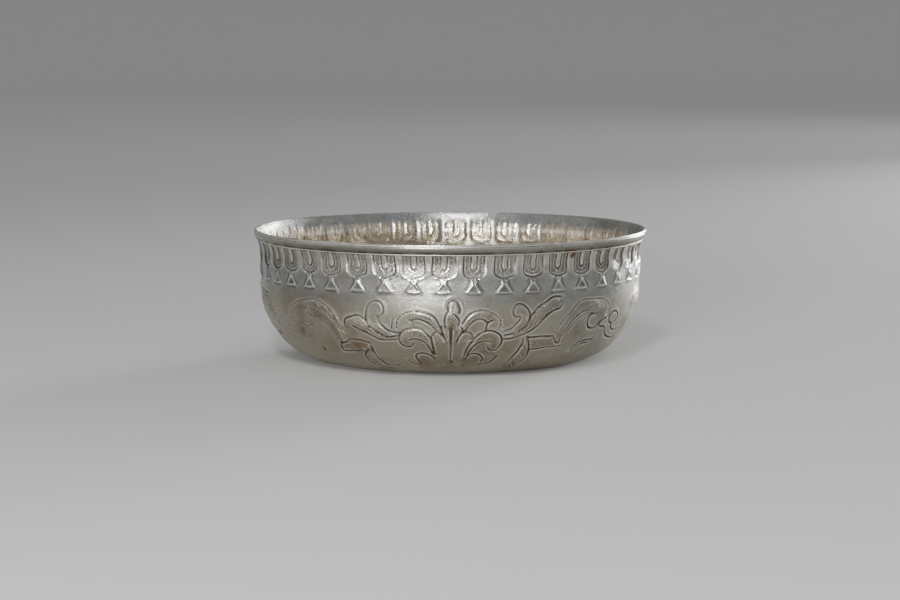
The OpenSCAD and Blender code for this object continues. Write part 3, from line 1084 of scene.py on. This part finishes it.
smooth = add_node(sweep, "GeometryNodeSetShadeSmooth", Geometry=swept).outputs[0]
joined = add_node(sweep, "GeometryNodeRealizeInstances", Geometry=smooth).outputs[0]
finished = add_node(sweep, "GeometryNodeSetMaterial", Geometry=joined, Material=asked["Finish"]).outputs[0]
feed(sweep, sweep_out, Swept=finished)


def sweep_round_lip(name, outline, waver, seed, finish):
    """A piece whose section, in radius and height, is swept round the lip."""
    middle = np.mean(outline, axis=0)
    curve = bpy.data.curves.new(name + "_section", "CURVE")
    spline = curve.splines.new("POLY")
    spline.points.add(len(outline) - 1)
    for point, (r, z) in zip(spline.points, reversed(outline)):
        point.co = ((r - middle[0]) / mm_per_m, (middle[1] - z) / mm_per_m, 0, 1)
    spline.use_cyclic_u = True
    drawn = bpy.data.objects.new(name + "_section", curve)
    base = bpy.data.objects.new(name + "_sweep", bpy.data.meshes.new(name + "_sweep"))
    for thing in (drawn, base):
        in_scene.link(thing)
    modifier = base.modifiers.new("Sweep", "NODES")
    modifier.node_group = sweep
    keys = {item.name: item.identifier for item in sweep.interface.items_tree if item.in_out == "INPUT"}
    values = {"Section": drawn, "Steps Round": lip_columns, "Ring Radius": middle[0] / mm_per_m,
              "Ring Height": middle[1] / mm_per_m, "Waver": waver / mm_per_m, "Seed": seed, "Finish": finish}
    for label, value in values.items():
        modifier[keys[label]] = value
    ready = base.evaluated_get(bpy.context.evaluated_depsgraph_get())
    mesh = bpy.data.meshes.new_from_object(ready)
    mesh.name = name
    piece = bpy.data.objects.new(name, mesh)
    in_scene.link(piece)
    for thing in (drawn, base):
        bpy.data.objects.remove(thing)
    return piece


def show_plainly(tree, worn, shader):
    """Links the worn silver's colour, roughness and height to the shader."""
    bump = add_node(tree, "ShaderNodeBump", Height=worn.outputs["Height"], Strength=0.4, Distance=0.0001)
    feed(tree, shader, Base_Color=worn.outputs["Colour"], Roughness=worn.outputs["Roughness"])
    feed(tree, shader, Normal=bump.outputs["Normal"])


band_silver, tree, worn, shader = silver_finish("band_silver", bare_band, patina_band, cover=0.6, satin=0.2)
across = add_node(tree, "ShaderNodeAttribute", {"attribute_name": "across"}).outputs["Fac"]
# The lower half of the band's face is painted shade, laid in as tarnish. A thin dark line marks the joint at
# its top edge. The top of the face is rubbed bright, which also paints a highlight along it.
lower_face_shade = ramp(tree, across, 0.2, 0.46)
high_edge = ramp(tree, across, 0.06, 0.11, 0.3, 0.0)
feed(tree, worn, Tarnish=reckon(tree, "ADD", lower_face_shade, high_edge))
feed(tree, worn, Polish=ramp(tree, across, 0.08, 0.2, 0.5, 0.0))
show_plainly(tree, worn, shader)
crown = []
for k in range(crown_steps + 1):
    bulge = band_crown * (1 - (2 * k / crown_steps - 1) ** 2)
    crown.append(on_lip(band_low + band_h * k / crown_steps, band_edge + bulge))
band_outline = [on_lip(band_low, 0)] + crown + [on_lip(band_low + band_h, 0)]
band = sweep_round_lip("rim_band_strip", band_outline, band_waver, band_seed, band_silver)
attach(band, "root")
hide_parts("rim_band")


# Rim solder: silver solder run into the two corners between the strip and the lip.
# It shows as a fine uneven line below the strip and a finer one above it.
low_leg = 0.5
high_leg = 0.2
quarter_turn = 1.57
fillet_points = 6
solder_waver = 0.05
solder_seed = 7.0
bare_solder = (0.9, 0.87, 0.77, 1)
patina_solder = (0.55, 0.47, 0.35, 1)
solder_finish, tree, worn, shader = silver_finish("solder", bare_solder, patina_solder, cover=0.5, satin=0.4)
show_plainly(tree, worn, shader)
fillets = (("rim_solder_low", band_low, low_leg, -1), ("rim_solder_high", band_low + band_h, high_leg, 1))
for name, edge, leg, way in fillets:
    outline = [on_lip(edge, 0)]
    for turn in np.linspace(0, quarter_turn, fillet_points):
        outline.append(on_lip(edge + way * leg * math.cos(turn), leg * math.sin(turn)))
    fillet = sweep_round_lip(name, outline, solder_waver, solder_seed + way, solder_finish)
    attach(fillet, "root")
    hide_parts("rim_solder")


# The studio: a plain pale floor that curves up far away, soft light from panels, and the photograph's
# camera. The floor is clear from below and open under the seat, so that the underside can be looked at.
floor_z = -0.00015
floor_hole_r = 0.05
floor_r = 4.0
cove_r = 1.5
cove_lean = 60
cove_points = 13
cove_turns = np.radians(np.linspace(0, cove_lean, cove_points))
cove = [(floor_r + cove_r * math.sin(a), floor_z + cove_r * (1 - math.cos(a))) for a in cove_turns]
floor_section = [(floor_hole_r, floor_z)] + cove
sides = 96
floor_points = []
for r, z in floor_section:
    for i in range(sides):
        a = 2 * math.pi * i / sides
        floor_points.append((r * math.cos(a), r * math.sin(a), z))
floor_faces = []
for ring in range(len(floor_section) - 1):
    low = ring * sides
    for i in range(sides):
        j = (i + 1) % sides
        floor_faces.append((low + i, low + sides + i, low + sides + j, low + j))
floor_mesh = bpy.data.meshes.new("floor")
floor_mesh.from_pydata(floor_points, [], floor_faces)
floor_mesh.shade_smooth()
floor = bpy.data.objects.new("floor", floor_mesh)
in_scene.link(floor)
paper = bpy.data.materials.new("floor_paper")
paper.use_nodes = True
tree = paper.node_tree
place = add_node(tree, "ShaderNodeTexCoord").outputs["Object"]
paper_dark = (0.57, 0.57, 0.57, 1)
paper_light = (0.6, 0.6, 0.595, 1)
paper_colour = blend(tree, noise(tree, place, scale=30.0, detail=5.0), paper_dark, paper_light)
shader = feed(tree, tree.nodes["Principled BSDF"], Base_Color=paper_colour, Roughness=0.75)
from_below = add_node(tree, "ShaderNodeNewGeometry").outputs["Backfacing"]
clear = add_node(tree, "ShaderNodeBsdfTransparent").outputs["BSDF"]
one_sided = add_node(tree, "ShaderNodeMixShader", i0=from_below, i1=shader.outputs["BSDF"], i2=clear)
feed(tree, tree.nodes["Material Output"], Surface=one_sided.outputs[0])
floor_mesh.materials.append(paper)


def panel(name, place, aim, width, height, watts, spread=180):
    """A soft light panel that faces a point, with its light kept within this angle in degrees."""
    light = bpy.data.lights.new(name, "AREA")
    light.shape = "RECTANGLE"
    light.size = width
    light.size_y = height
    light.energy = watts
    light.spread = math.radians(spread)
    lamp = bpy.data.objects.new(name, light)
    lamp.location = place
    lamp.rotation_euler = (Vector(aim) - Vector(place)).to_track_quat("-Z", "Y").to_euler()
    in_scene.link(lamp)


panel("front_panel", (-0.35, -1.25, 0.19), (0, 0, 0.03), width=0.36, height=0.24, watts=18.0)
panel("high_panel", (-0.1, -0.85, 0.62), (0, 0, 0.05), width=0.1, height=0.2, watts=3.6)
panel("back_right_panel", (1.6, 1.9, 0.8), (0, 0, 0.03), width=1.0, height=0.8, watts=11.0)
panel("right_edge_panel", (1.3, 1.72, 0.16), (0.05, 0, 0.04), width=0.72, height=0.2, watts=5.2, spread=46)
panel("left_panel", (-0.96, -0.3, 0.28), (0, 0, 0.05), width=1.0, height=0.24, watts=0.7)
panel("right_panel", (1.0, 0, 0.28), (0, 0, 0.05), width=1.2, height=0.24, watts=0.8)

# A soft dome of light overhead, dark towards the horizon.
world = bpy.data.worlds.new("studio")
world.use_nodes = True
sky = world.node_tree
toward = add_node(sky, "ShaderNodeTexCoord").outputs["Generated"]
upward = add_node(sky, "ShaderNodeSeparateXYZ", Vector=toward).outputs["Z"]
horizon = (0.03, 0.031, 0.033, 1)
soft_dome = (0.28, 0.284, 0.29, 1)
overhead = (0.5, 0.5, 0.5, 1)
underneath = (0.3, 0.3, 0.3, 1)
dome = blend(sky, ramp(sky, upward, 0.06, 0.26), horizon, soft_dome)
dome = blend(sky, ramp(sky, upward, 0.6, 0.85), dome, overhead)
dome = blend(sky, ramp(sky, upward, -0.3, -0.1, 1.0, 0.0), dome, underneath)
feed(sky, sky.nodes["Background"], Color=dome)
bpy.context.scene.world = world

# The camera that was fitted to the photograph.
camera_at = Vector((0, -1.0, 0.14178))
camera_aim = Vector((0, 0, 0.0237))
lens = bpy.data.cameras.new("camera")
lens.lens = 92.8
lens.sensor_width = 36
lens.sensor_fit = "HORIZONTAL"
camera = bpy.data.objects.new("camera", lens)
camera.location = camera_at
camera.rotation_euler = (camera_aim - camera_at).to_track_quat("-Z", "Y").to_euler()
in_scene.link(camera)
bpy.context.scene.camera = camera
